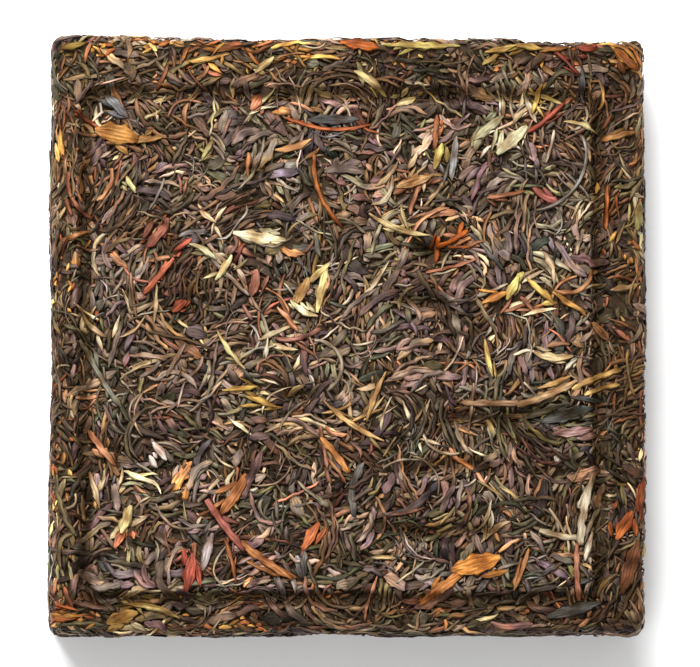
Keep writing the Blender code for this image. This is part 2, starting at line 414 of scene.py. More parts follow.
FEATURES = [
    Feature("flakes", 21.2, -38.6, 16, 8.5, 3.4, 10, (210, 132, 56)),
    Feature("flakes", 15.7, -42.2, 37, 10.0, 1.8, -10, (190, 118, 56)),
    Feature("flakes", -39.2, 33.6, -14, 7.5, 3.5, -14, (190, 130, 62)),
    Feature("flakes", -34.8, 32.7, 2, 6.5, 1.3, 10, (186, 136, 72)),
    Feature("rust_stems", -44.2, 35.8, -42, 5.0, 0.7, 20, (160, 82, 50)),
    Feature("gold_buds", -15.2, 16.2, -5, 9.0, 2.2, 10, (240, 222, 168)),
    Feature("gold_buds", -4.8, 7.4, 258, 7.8, 1.6, 8, (214, 188, 116)),
    Feature("rust_stems", 41.5, -7.2, 20, 9.0, 1.1, -14, (206, 166, 96)),
    Feature("rust_stems", 33.4, -10.2, 22, 11.0, 1.3, 16, (172, 134, 88)),
    Feature("rust_stems", 24.8, -11.6, -3, 12.0, 1.1, 8, (154, 116, 82)),
    Feature("pale_stems", 20.6, -12.2, 82, 8.0, 0.6, 10, (156, 128, 98)),
    Feature("gold_buds", 34.5, -8.2, 24, 6.0, 1.0, 20, (196, 150, 86)),
    Feature("rust_stems", -21.0, -32.2, -52, 10.5, 1.3, 8, (156, 88, 70)),
    Feature("rust_stems", -14.2, -38.2, -38, 11.0, 1.3, 10, (178, 112, 62)),
    Feature("rust_stems", -19.7, -38.2, -76, 7.5, 0.7, -14, (160, 96, 56)),
    Feature("flakes", -19.4, -27.2, 60, 8.5, 2.1, 14, (170, 104, 56)),
    Feature("pale_stems", 39.4, -29.4, 82, 12.0, 1.4, -20, (186, 166, 130)),
    Feature("pale_stems", 35.5, -33.8, -14, 7.5, 1.1, 14, (184, 162, 122)),
    Feature("pale_stems", 40.2, -35.6, 74, 5.0, 1.0, 0, (200, 178, 142)),
    Feature("rust_stems", 38.2, -40.0, 96, 10.0, 1.0, -12, (182, 120, 86)),
    Feature("rust_stems", 29.0, -39.5, 72, 7.5, 0.8, 12, (184, 124, 74)),
    Feature("pale_stems", -1.4, -4.4, -72, 12.0, 0.7, -150, (158, 138, 108)),
    Feature("pale_stems", 38.6, 25.6, -118, 17.0, 0.55, -100, (136, 126, 110)),
    Feature("gold_buds", 27.4, 32.9, 40, 7.0, 2.2, 0, (194, 180, 132)),
    Feature("gold_buds", 3.7, 42.6, -34, 7.0, 1.4, -24, (222, 200, 138)),
    Feature("gold_buds", 9.5, 39.4, 20, 3.6, 1.5, 0, (216, 192, 132)),
    Feature("mauve_strips", -2.8, 36.2, 4, 9.0, 1.7, 6, (70, 66, 62)),
    Feature("rust_stems", -3.7, 34.6, -2, 15.0, 0.7, 42, (180, 96, 52)),
    Feature("rust_stems", -5.0, 23.6, -70, 13.5, 0.8, 52, (168, 96, 46)),
    Feature("gold_buds", 8.1, 17.8, -16, 11.0, 1.1, 32, (204, 176, 116)),
    Feature("rust_stems", -32.0, 9.6, 50, 7.8, 1.1, 0, (178, 94, 62)),
    Feature("rust_stems", -32.4, 16.4, 50, 5.0, 1.6, 10, (146, 84, 64)),
    Feature("rust_stems", -28.0, 14.9, 35, 3.6, 1.0, 0, (170, 80, 58)),
    Feature("gold_buds", -21.1, 11.0, 55, 5.0, 1.3, 10, (220, 200, 136)),
    Feature("gold_buds", -20.2, -3.0, -54, 8.0, 0.9, 20, (208, 188, 122)),
    Feature("gold_buds", -24.5, 14.0, -28, 5.5, 1.1, -30, (196, 182, 130)),
    Feature("gold_buds", -18.4, -9.3, 3, 6.0, 0.9, 8, (200, 158, 76)),
    Feature("gold_buds", -14.8, -11.4, -16, 5.5, 1.1, 0, (190, 148, 72)),
    Feature("gold_buds", 4.2, -10.5, 68, 9.0, 1.0, -10, (182, 136, 80)),
    Feature("gold_buds", 0.4, -15.3, -32, 12.0, 1.0, 26, (190, 148, 88)),
    Feature("rust_stems", -2.4, -20.2, -54, 7.5, 1.2, -12, (194, 128, 66)),
    Feature("rust_stems", 17.4, 16.0, 32, 6.0, 0.9, 10, (196, 98, 36)),
    Feature("rust_stems", 14.9, 14.3, 88, 4.5, 0.9, 14, (204, 102, 36)),
    Feature("gold_buds", 27.4, 7.9, 60, 4.5, 1.6, 0, (220, 196, 104)),
    Feature("gold_buds", 32.2, 7.4, -42, 6.5, 1.2, 0, (204, 164, 82)),
    Feature("gold_buds", 36.7, 5.6, -30, 6.0, 1.1, 0, (188, 136, 66)),
    Feature("gold_buds", 24.6, 6.3, 24, 5.0, 1.3, 0, (198, 134, 62)),
    Feature("gold_buds", 34.2, -3.9, -8, 7.0, 1.4, 46, (206, 176, 120)),
    Feature("gold_buds", 23.3, -4.0, -76, 6.5, 1.0, 10, (198, 168, 92)),
    Feature("gold_buds", -31.8, -19.8, -50, 3.8, 1.4, 0, (232, 210, 186)),
    Feature("gold_buds", -37.4, -31.2, 68, 5.0, 1.9, 0, (228, 206, 136)),
    Feature("flakes", -38.4, -34.2, 60, 4.0, 1.6, 0, (198, 114, 74)),
    Feature("flakes", -6.6, -34.0, 56, 5.5, 1.8, 0, (192, 104, 58)),
    Feature("flakes", -26.8, -40.0, 82, 6.5, 2.1, 0, (158, 72, 52)),
    Feature("gold_buds", -23.8, -36.6, 78, 6.5, 1.6, 0, (170, 150, 136)),
    Feature("flakes", -38.0, -47.4, 20, 5.5, 2.2, 0, (190, 146, 76)),
    Feature("gold_buds", -32.8, -45.7, -14, 9.5, 1.2, -30, (196, 166, 100)),
    Feature("flakes", 46.2, -32.0, 56, 5.5, 2.2, 0, (206, 112, 56)),
    Feature("flakes", 49.2, -26.8, 80, 6.0, 1.8, 0, (172, 92, 56)),
    Feature("flakes", 47.2, -39.0, 70, 9.5, 2.6, 0, (126, 78, 50)),
    Feature("flakes", 1.6, 49.0, -14, 6.5, 2.0, 0, (204, 108, 46)),
    Feature("gold_buds", 12.2, 49.0, -4, 13.0, 1.3, 0, (210, 188, 108)),
    Feature("flakes", 46.8, 47.0, -48, 5.5, 1.6, 0, (178, 104, 50)),
    Feature("gold_buds", 25.6, 48.2, 12, 5.5, 1.1, 20, (206, 172, 92)),
    Feature("gold_buds", 30.2, 49.0, -6, 5.0, 1.2, 0, (198, 160, 80)),
    Feature("gold_buds", 24.0, 46.6, 34, 3.6, 1.1, 0, (196, 168, 98)),
    Feature("rust_stems", 34.6, 48.8, 8, 5.0, 0.9, 0, (164, 108, 56)),
    Feature("flakes", 40.2, 49.0, -4, 3.4, 1.5, 0, (150, 64, 42)),
    Feature("gold_buds", -46.6, 48.4, 10, 4.2, 1.2, 0, (190, 160, 78)),
    Feature("rust_stems", 37.0, 46.2, -50, 6.0, 0.6, 0, (152, 72, 60)),
    Feature("mauve_strips", 39.4, 42.6, -85, 6.5, 1.1, 0, (84, 82, 82)),
    Feature("gold_buds", 31.7, 40.0, 74, 5.5, 1.0, 0, (206, 168, 84)),
    Feature("rust_stems", 33.5, 36.7, 38, 8.5, 0.8, 16, (164, 78, 56)),
    Feature("gold_buds", 39.4, 35.6, -18, 6.5, 0.8, -34, (202, 178, 118)),
    Feature("broad_leaves", 37.6, -16.4, 8, 7.0, 1.7, 10, (150, 112, 96)),
    Feature("broad_leaves", 36.6, -13.4, 15, 9.0, 2.4, 0, (70, 70, 63)),
    Feature("broad_leaves", 37.6, -46.2, 14, 9.5, 2.1, 0, (76, 73, 69)),
    Feature("gold_buds", 23.4, 35.0, 38, 6.5, 1.7, 0, (170, 160, 116)),
    Feature("gold_buds", 15.0, 30.2, 70, 4.5, 1.5, 0, (204, 180, 96)),
    Feature("flakes", 10.8, 25.8, 20, 6.0, 1.9, 0, (190, 142, 88)),
    Feature("rust_stems", 14.6, 34.2, 88, 6.0, 1.0, 0, (174, 108, 70)),
    Feature("mauve_strips", 17.6, 29.8, 82, 7.5, 1.4, 0, (138, 132, 120)),
    Feature("gold_buds", 33.4, 40.4, -18, 6.5, 1.0, -30, (204, 180, 108)),
    Feature("gold_buds", 49.2, 20.2, 85, 5.0, 1.7, 0, (184, 172, 110)),
    Feature("rust_stems", 43.4, 21.6, 86, 7.5, 0.9, 0, (180, 100, 52)),
    Feature("rust_stems", 45.4, 33.8, 15, 6.0, 1.1, 0, (186, 132, 78)),
    Feature("rust_stems", 33.0, 23.4, -30, 5.0, 1.2, 40, (170, 96, 80)),
    Feature("rust_stems", 26.4, 23.6, 12, 6.5, 0.8, 10, (164, 104, 70)),
    Feature("gold_buds", -9.4, 31.4, 20, 6.5, 1.3, 40, (194, 138, 84)),
    Feature("flakes", -15.8, 39.2, 60, 3.2, 1.9, 0, (186, 114, 76)),
    Feature("gold_buds", -14.4, 45.6, 45, 4.2, 1.3, 0, (226, 204, 144)),
    Feature("gold_buds", -24.0, 31.0, 60, 3.8, 0.9, 0, (204, 184, 116)),
    Feature("gold_buds", -36.8, 25.0, -60, 3.2, 1.1, 0, (208, 192, 124)),
    Feature("gold_buds", -8.0, 3.8, -30, 5.5, 1.2, 50, (222, 202, 144)),
    Feature("flakes", -8.0, 7.2, 60, 5.0, 1.9, 0, (182, 138, 80)),
    Feature("flakes", -16.0, 8.4, 75, 4.2, 2.0, 0, (168, 108, 84)),
    Feature("flakes", -28.6, 4.6, 40, 3.0, 1.7, 0, (178, 90, 60)),
    Feature("mauve_strips", -39.3, 38.3, -48, 5.5, 1.7, 0, (116, 112, 104)),
    Feature("rust_stems", -41.6, -19.4, -52, 7.5, 1.2, 10, (196, 132, 88)),
    Feature("rust_stems", -39.8, -21.6, -60, 5.0, 1.0, 0, (194, 144, 96)),
    Feature("pale_stems", -42.0, -7.0, -62, 13.5, 1.0, 10, (128, 120, 96)),
]


@dataclass
class Cluster:
    """Leaves of one kind close together: their middle, how far they reach and their heading."""

    kind: str
    x: float
    y: float
    reach: float
    heading: float
    count: int
    tints: tuple = ()  # its own, where they aren't its kind's


FRINGE = ((184, 138, 78), (154, 100, 60), (204, 166, 100), (146, 88, 56), (126, 98, 68))


CLUSTERS = [
    Cluster("gold_buds", 31.0, 8.0, 4.0, 40, 7),
    Cluster("rust_stems", 30.0, 5.5, 5.0, 10, 6),
    Cluster("gold_buds", 11.5, 27.5, 3.5, 50, 7),
    Cluster("rust_stems", 10.0, 25.0, 4.0, 20, 5),
    Cluster("gold_buds", 31.0, 39.0, 4.0, 60, 6),
    Cluster("pale_stems", 29.0, 34.5, 5.0, 40, 8),
    Cluster("tan_strips", -18.4, 8.4, 3.5, 80, 8),
    Cluster("gold_buds", 6.5, 8.5, 3.0, 75, 4),
    Cluster("gold_buds", -14.3, -10.9, 4.0, 10, 7),
    Cluster("gold_buds", -40.0, -21.0, 4.0, 100, 5),
    Cluster("gold_buds", -38.0, -32.0, 3.0, 60, 4),
    Cluster("tan_strips", -31.0, -8.0, 4.0, 40, 9),
    Cluster("gold_buds", -43.0, 2.0, 3.5, 110, 5),
    Cluster("gold_buds", -36.0, 3.5, 4.0, 60, 5),
    Cluster("gold_buds", -35.0, -46.5, 5.0, 0, 9),
    Cluster("gold_buds", -12.5, -0.5, 3.0, 20, 4),
    Cluster("gold_buds", -23.5, 15.5, 3.5, -30, 5),
    Cluster("rust_stems", 18.5, 15.5, 3.5, 40, 5),
    Cluster("rust_stems", -31.0, 10.5, 4.0, 50, 5),
    Cluster("gold_buds", 9.0, 18.5, 3.0, -15, 4),
    Cluster("rust_stems", -3.0, -20.0, 4.0, 100, 6),
    Cluster("pale_stems", 12.0, -19.5, 3.5, 0, 4),
    Cluster("gold_buds", 24.5, -30.0, 3.5, 60, 5),
    Cluster("gold_buds", 2.5, -12.5, 4.0, 55, 7),
    Cluster("gold_buds", 12.0, -12.5, 4.0, 100, 4),
    Cluster("rust_stems", -14.0, 6.0, 4.0, 100, 4),
    Cluster("rust_stems", -40.0, 26.0, 4.0, 60, 4),
    Cluster("rust_stems", -30.0, 42.0, 5.0, 20, 4),
    Cluster("pale_stems", 38.0, -34.0, 4.0, 90, 5),
    Cluster("rust_stems", -27.0, -37.0, 3.0, 90, 4),
    Cluster("crumbs", -42.0, 49.6, 3.0, 0, 12, FRINGE),
    Cluster("crumbs", -32.0, 49.6, 5.0, 0, 20, FRINGE),
    Cluster("gold_buds", -23.0, 49.6, 5.0, 0, 12, FRINGE),
    Cluster("crumbs", -14.0, 49.6, 5.0, 0, 18, FRINGE),
    Cluster("rust_stems", -10.0, 49.6, 5.0, 0, 10, FRINGE),
    Cluster("crumbs", 8.0, 49.6, 6.0, 0, 18, FRINGE),
    Cluster("gold_buds", 31.0, 49.6, 5.0, 10, 9, FRINGE),
    Cluster("crumbs", 33.0, 49.6, 6.0, 0, 18, FRINGE),
    Cluster("rust_stems", 47.5, 47.5, 2.5, -50, 7, FRINGE),
    Cluster("crumbs", 49.2, 17.0, 7.0, 90, 16, FRINGE),
    Cluster("gold_buds", 49.0, 28.0, 3.0, 90, 4),
    Cluster("gold_buds", 49.0, 17.0, 3.0, 90, 4),
    Cluster("gold_buds", -49.5, 31.0, 5.0, 90, 8, FRINGE),
    Cluster("crumbs", -49.5, 12.0, 8.0, 90, 16, FRINGE),
    Cluster("crumbs", -49.5, -22.0, 9.0, 90, 20, FRINGE),
    Cluster("gold_buds", 49.0, 6.0, 2.5, 80, 4),
    Cluster("rust_stems", 48.5, 10.5, 2.5, 80, 4),
    Cluster("crumbs", -47.0, -47.5, 3.5, 0, 16, FRINGE),
    Cluster("gold_buds", -47.0, -47.0, 2.5, 0, 6, FRINGE),
    Cluster("crumbs", -20.0, -49.0, 8.0, 0, 14, FRINGE),
    Cluster("rust_stems", 49.5, -8.0, 6.0, 90, 7),
    Cluster("rust_stems", -49.5, 18.0, 6.0, 90, 5),
]

# The brick's six sides: the axis they face along, and which way.
BRICK_SIDES = [(axis, way) for axis in range(3) for way in (-1, 1)]
BASE_CROWD, WALL_CROWD = 0.7, 0.9  # how crowded these are, as shares of the face
ALIGNED_WITHIN = 9.0  # near the face's edges, leaves tend to lie along them
ALIGNED_SHARE = 0.5
WALL_SPREAD = 0.38  # radians about the level that leaves lie at on the walls


# ------------------------------------------------------------ laying the leaves

def places_on_side(axis, way, kind):
    """Random places for bunches on one side of the brick, with a heading for each."""
    share = WALL_CROWD if axis < 2 else BASE_CROWD if way < 0 else 1.0
    area = np.delete(HIGH - LOW, axis).prod() / 100.0
    count = int(share * kind.crowd * area / kind.bunch)
    spots = rng.uniform(LOW, HIGH, (count, 3))
    spots[:, axis] = HIGH[axis] if way > 0 else LOW[axis]
    first = 1 if axis == 0 else 0
    second = 3 - axis - first
    angle = rng.normal(0.0, WALL_SPREAD, count)
    if axis == 2:
        gaps = HALF_SIDE - np.abs(spots[:, :2])
        aligned = (gaps.min(axis=1) < ALIGNED_WITHIN) & (rng.random(count) < ALIGNED_SHARE)
        beside = np.where(gaps[:, 0] < gaps[:, 1], math.pi / 2.0, 0.0) + angle
        swirl = 2.0 * math.pi * SWIRL_TURNS * swirls(spots[:, 0], spots[:, 1])
        swirl = swirl + rng.normal(0.0, SWIRL_SPREAD, count)
        free = rng.uniform(0.0, 2.0 * math.pi, count)
        angle = np.where(aligned, beside, np.where(rng.random(count) < SWIRL_SHARE, swirl, free))
    heading = np.zeros((count, 3))
    heading[:, first] = np.cos(angle)
    heading[:, second] = np.sin(angle)
    return spots, heading * rng.choice([-1.0, 1.0], (count, 1))


def places_on_rim(kind):
    """Random places along the brick's top edge, on the face or just below it."""
    count = int(kind.rim * 8.0 * HALF_SIDE / 10.0 / kind.bunch)
    spots = np.empty((count, 3))
    along = rng.uniform(-HALF_SIDE, HALF_SIDE, count)
    inset = rng.exponential(1.2, count)
    drop = np.where(rng.random(count) < 0.6, 0.0, rng.exponential(1.5, count))
    turned = rng.random(count) < 0.5
    way = rng.choice([-1.0, 1.0], count)
    across = way * (HALF_SIDE - np.where(drop > 0.0, 0.0, inset))
    spots[:, 0] = np.where(turned, along, across)
    spots[:, 1] = np.where(turned, across, along)
    spots[:, 2] = HEIGHT - drop
    angle = rng.normal(0.0, 0.6, count) + np.where(turned, 0.0, math.pi / 2.0)
    heading = np.stack([np.cos(angle), np.sin(angle), np.zeros(count)], axis=1)
    return spots, heading


def draw_leaves(index, kind):
    """Draws the loose leaves of one kind in bunches, before they are laid."""
    places = [places_on_side(axis, way, kind) for axis, way in BRICK_SIDES]
    spots, headings = (np.concatenate(one) for one in zip(*places, places_on_rim(kind)))
    bunches = len(spots)
    size = rng.geometric(1.0 / kind.bunch, bunches)
    bunch = np.repeat(np.arange(bunches), size)
    count = len(bunch)
    normals = on_surface(spots)[1]
    sides = np.cross(normals, headings)
    width = rng.uniform(*kind.width, count)
    length = rng.uniform(*kind.length, bunches)[bunch] * rng.uniform(0.4, 1.15, count)
    number = np.arange(count) - (np.cumsum(size) - size)[bunch]
    aside = BUNCH_STEP * (number - (size[bunch] - 1.0) / 2.0)
    aside = (aside + rng.normal(0.0, BUNCH_SPREAD, count)) * np.mean(kind.width)
    ahead = rng.normal(0.0, BUNCH_REACH, count) * length
    spot = spots[bunch] + ahead[:, None] * headings[bunch] + aside[:, None] * sides[bunch]
    spot = on_surface(spot + 2.0 * EDGE_RADIUS * normals[bunch])[0]
    turned = rng.normal(0.0, kind.splay, (count, 1))
    heading = np.cos(turned) * headings[bunch] + np.sin(turned) * sides[bunch]
    kink = rng.normal(0.0, KINK, (bunches, 1))[bunch] + rng.normal(0.0, 0.5 * KINK, (count, 1))
    bend = rng.normal(0.0, kind.bend, bunches)[bunch] + rng.normal(0.0, 0.25 * kind.bend, count)
    bend = np.clip(bend, -MOST_TURN / length, MOST_TURN / length)
    curl = rng.normal(0.0, 1.2 * kind.bend, (bunches, 1))[bunch]
    phase = rng.uniform(0.0, 2.0 * math.pi, (bunches, 1))[bunch] + rng.normal(0.0, 0.4, (count, 1))
    along = np.linspace(-0.5, 0.5, SAMPLES) * length[:, None]
    rank = rng.uniform(*kind.rank, bunches)[bunch] + rng.normal(0.0, 0.015, count)
    own = rng.integers(0, len(kind.tints), count)
    shared = rng.integers(0, len(kind.tints), bunches)[bunch]
    tint = np.array(kind.tints)[np.where(rng.random(count) < BUNCH_TINT, shared, own)] / 255.0
    tone = rng.normal(1.0, BUNCH_TONE, bunches)[bunch] * rng.normal(1.0, LEAF_TONE, count)
    tone = tone * (1.0 + PATCH_TONE * patches(spot[:, 0], spot[:, 1]))
    # Painted light: brighter at the back and darker at the front, as the key light falls from behind.
    tone = tone * (1.0 + PAINTED_BACK_LIGHT * spot[:, 1] / HALF_SIDE)
    tint = tint * np.clip(tone, 0.55, 1.32)[:, None] ** LEAF_DEEPENING
    tint = tint + rng.normal(0.0, HUE_SPREAD, (count, 3))
    tint = tint * (1.0 + hues(spot[:, 0], spot[:, 1])[:, None] * HUE_SHIFT)
    turns = np.where(rng.random((count, 1)) < PALER_SHARE, PALER, DARKER)
    return SimpleNamespace(
        kind=np.full(count, index),
        spot=spot,
        heading=heading,
        length=length,
        width=width,
        turn=bend[:, None] + curl * np.sin(phase + 0.9 * along) + kink * np.sin(phase + 2.3 * along),
        rank=np.abs(rank),
        tint=np.clip(tint, LEAST_TINT, MOST_TINT),
        other=np.clip(tint * turns, LEAST_TINT, MOST_TINT),
    )


def clustered():
    """The leaves of the clusters, drawn round their middles. They lie among the uppermost."""
    made = []
    for index, kind in enumerate(KINDS):
        for cluster in (one for one in CLUSTERS if one.kind == kind.name):
            count = cluster.count
            middle = np.array([cluster.x, cluster.y, HIGH[2] + 2.0 * EDGE_RADIUS])
            off = rng.normal(0.0, 0.6 * cluster.reach, (count, 3)) * (1.0, 1.0, 0.0)
            angle = math.radians(cluster.heading) + rng.normal(0.0, 0.55, count)
            length = rng.uniform(*kind.length, count)
            bend = rng.normal(0.0, kind.bend, count)
            bend = np.clip(bend, -MOST_TURN / length, MOST_TURN / length)
            kink = rng.normal(0.0, 0.2, (count, SAMPLES))
            tints = np.array(cluster.tints or kind.tints) / 255.0
            tint = tints[rng.integers(0, len(tints), count)] * rng.normal(1.05, LEAF_TONE, (count, 1))
            made.append(SimpleNamespace(
                kind=np.full(count, index),
                spot=on_surface(middle + off)[0],
                heading=np.stack([np.cos(angle), np.sin(angle), np.zeros(count)], axis=1),
                length=length,
                width=rng.uniform(*kind.width, count) * 1.1,
                turn=bend[:, None] + kink,
                rank=rng.uniform(0.0, 0.06, count),
                tint=np.clip(tint, LEAST_TINT, MOST_TINT),
                other=np.clip(tint * PLACED_OTHER, LEAST_TINT, MOST_TINT),
            ))
    return gather(made)


def with_chips(features):
    """The listed leaves, with smaller pieces broken from them at their sides."""
    chips = []
    for feature in features:
        for _ in range(rng.integers(1, 4)):
            angle = math.radians(feature.heading)
            ahead = rng.uniform(-0.45, 0.45) * feature.length
            aside = rng.normal(0.0, 0.7) * feature.width
            tone = rng.uniform(0.7, 1.05)
            chips.append(replace(
                feature,
                x=feature.x + ahead * math.cos(angle) - aside * math.sin(angle),
                y=feature.y + ahead * math.sin(angle) + aside * math.cos(angle),
                heading=feature.heading + rng.normal(0.0, 22.0),
                length=min(feature.length, CHIP_LENGTH) * rng.uniform(0.3, 0.7),
                width=min(feature.width, CHIP_WIDTH) * rng.uniform(0.4, 0.9),
                tint=tuple(tone * value for value in feature.tint),
            ))
    return features + chips


def placed_features():
    """The listed leaves, in the same form as the drawn ones. They are laid first."""
    names = [kind.name for kind in KINDS]
    middle = (LOW + HIGH) / 2.0
    features = with_chips(FEATURES)
    angle = np.radians([feature.heading for feature in features])
    length = np.array([feature.length for feature in features])
    bend = np.radians([feature.bend for feature in features]) / length
    along = np.linspace(0.0, 1.0, SAMPLES) * length[:, None]
    kink = 0.12 * np.sin(2.1 * along + 7.0 * angle[:, None])
    tint = np.array([feature.tint for feature in features]) / 255.0 * PLACED_TONE
    return SimpleNamespace(
        kind=np.array([names.index(feature.kind) for feature in features]),
        spot=np.array([[middle[0] + f.x, middle[1] + f.y, HIGH[2]] for f in features]),
        heading=np.stack([np.cos(angle), np.sin(angle), np.zeros(len(angle))], axis=1),
        length=length,
        width=np.array([feature.width for feature in features]),
        turn=bend[:, None] + kink,
        rank=-1.0 - 0.001 * np.arange(len(features))[::-1],
        tint=tint,
        other=tint * PLACED_OTHER,
    )


def half_walk(spot, heading, turn, step):
    """Walks from each spot over the brick's surface, turning as it goes."""
    point, outward = on_surface(spot)
    way = unit(heading - (heading * outward).sum(1, keepdims=True) * outward)
    points, ways = [point], [way]
    for angle in (turn * step[:, None]).T[..., None]:
        side = np.cross(outward, way)
        way = np.cos(angle) * way + np.sin(angle) * side
        point, outward = on_surface(point + step[:, None] * way)
        way = unit(way - (way * outward).sum(1, keepdims=True) * outward)
        points.append(point)
        ways.append(way)
    return points, ways


def trace(leaves):
    """Adds each leaf's centre line: its places, directions and outward directions."""
    half = SAMPLES // 2
    leaves.step = leaves.length / (SAMPLES - 1)
    ahead = half_walk(leaves.spot, leaves.heading, leaves.turn[:, half:-1], leaves.step)
    behind = half_walk(
        leaves.spot, -leaves.heading, -leaves.turn[:, half - 1::-1], leaves.step
    )
    points = behind[0][:0:-1] + ahead[0]
    ways = [-way for way in behind[1][:0:-1]] + ahead[1]
    leaves.point = np.stack(points, axis=1)
    leaves.way = np.stack(ways, axis=1)
    leaves.outward = on_surface(leaves.point)[1]


def narrowing(share, leaves):
    """Width at a share of each leaf's length, from its two ends' tapers."""
    start = np.clip(share / leaves.starts[:, None], 0.0, 1.0)
    end = np.clip((1.0 - share) / leaves.ends[:, None], 0.0, 1.0)
    return np.maximum((start * end) ** 0.6, leaves.tip[:, None])


def add_forms(leaves):
    """Adds what each leaf has of its own: tapers, roll, and how deep it starts."""
    count = len(leaves.kind)
    own = {
        name: np.array([getattr(kind, name) for kind in KINDS])[leaves.kind]
        for name in ("ends", "tip", "thickness")
    }
    leaves.starts = own["ends"][:, 0] * rng.uniform(0.5, 1.5, count)
    leaves.ends = own["ends"][:, 1] * rng.uniform(0.5, 1.4, count)
    leaves.tip = own["tip"] * rng.uniform(0.5, 1.4, count)
    stems = [n for n, kind in enumerate(KINDS) if kind.tip > 0.45]
    placed = (leaves.rank < 0.0) & ~np.isin(leaves.kind, stems)
    for name, value in (("starts", PLACED_TAPER), ("ends", PLACED_TAPER), ("tip", PLACED_TIP)):
        getattr(leaves, name)[placed] = value
    leaves.thick = own["thickness"] * rng.uniform(0.8, 1.25, count)
    leaves.roll = rng.normal(0.0, 0.12, count)
    leaves.phase = rng.uniform(0.0, 2.0 * math.pi, count)
    sunk = rng.exponential(0.08, count)[:, None]
    share = np.linspace(0.0, 1.0, SAMPLES)
    wave = 0.08 * np.sin(leaves.phase[:, None] + share * leaves.length[:, None] * 1.1)
    tucked = rng.exponential(0.12, (count, 2))
    ends_down = tucked[:, :1] * smooth_step(1.0 - share / 0.25)
    ends_down = ends_down + tucked[:, 1:] * smooth_step((share - 0.75) / 0.25)
    leaves.least = np.maximum(sunk + 0.08 + wave + ends_down, 0.0)


def add_cells(leaves):
    """Adds the cells of the cover map that lie under each leaf's samples."""
    share = np.linspace(0.0, 1.0, SAMPLES)
    reach = 0.5 * (leaves.width[:, None] * narrowing(share, leaves))[:, :, None] * LANES
    across = np.cross(leaves.outward, leaves.way)
    places = leaves.point[:, :, None] + reach[..., None] * across[:, :, None]
    shape = np.rint((HIGH - LOW) / CELL).astype(int) + 1
    index = np.rint((on_surface(places)[0] - LOW) / CELL).astype(np.int32)
    index = np.clip(index, 0, shape - 1)
    leaves.cells = (index[..., 0] * shape[1] + index[..., 1]) * shape[2] + index[..., 2]


def prepared(leaves):
    """Leaves with all that laying them takes."""
    trace(leaves)
    add_forms(leaves)
    add_cells(leaves)
    return leaves


def lay(leaves):
    """Finds how deep each leaf lies along its length, and the stretch of it that shows."""
    cover = np.zeros((np.rint((HIGH - LOW) / CELL).astype(int) + 1).prod(), np.float32)
    apart = np.abs(np.subtract.outer(np.arange(SAMPLES), np.arange(SAMPLES)))
    count = len(leaves.kind)
    leaves.depth = np.zeros((count, SAMPLES))
    leaves.seen = np.zeros((count, SAMPLES), bool)
    leaves.kept = np.zeros(count, bool)
    for n in np.argsort(leaves.rank, kind="stable"):
        cells = leaves.cells[n]
        above = cover[cells]
        inner = above[:, INNER_LANES]
        need = np.maximum(inner.max(axis=1), leaves.least[n])
        depth = (need[None, :] - DIP * leaves.step[n] * apart).max(axis=1)
        open_here = (inner == 0.0).mean(axis=1) * (depth < DEEPEST)
        if open_here.mean() < LEAST_SEEN and leaves.rank[n] >= 0.0:
            continue
        leaves.kept[n] = True
        leaves.depth[n] = depth
        leaves.seen[n] = open_here > 0.0
        cover[cells] = np.maximum(above, depth[:, None] + leaves.thick[n] * LANE_THICKNESS)


def keep_seen(leaves):
    """Only the leaves that show, each with the stretch between its first and last seen places."""
    kept = pick(leaves, leaves.kept)
    margin = 3
    first = np.maximum(kept.seen.argmax(axis=1) - margin, 0)
    last = np.minimum(SAMPLES - 1 - kept.seen[:, ::-1].argmax(axis=1) + margin, SAMPLES - 1)
    kept.first, kept.last = first.astype(float), last.astype(float)
    middle = kept.point[:, SAMPLES // 2]
    on_face = middle[:, 2] > HEIGHT - EDGE_RADIUS
    on_base = middle[:, 2] < EDGE_RADIUS * 0.5
    kept.region = np.where(on_face, FACE, np.where(on_base, BASE, WALL))
    return kept


# ------------------------------------------------------------ making the meshes

def at_stations(values, places):
    """Values along each leaf, read at places between its samples."""
    near = np.clip(places.astype(int), 0, SAMPLES - 2)
    share = places - near
    rows = np.arange(len(values))[:, None]
    if values.ndim == 3:
        share = share[..., None]
    return values[rows, near] * (1.0 - share) + values[rows, near + 1] * share


def linear(colour):
    """sRGB from 0 to 1 as light."""
    return np.where(colour <= 0.04045, colour / 12.92, ((colour + 0.055) / 1.055) ** 2.4)


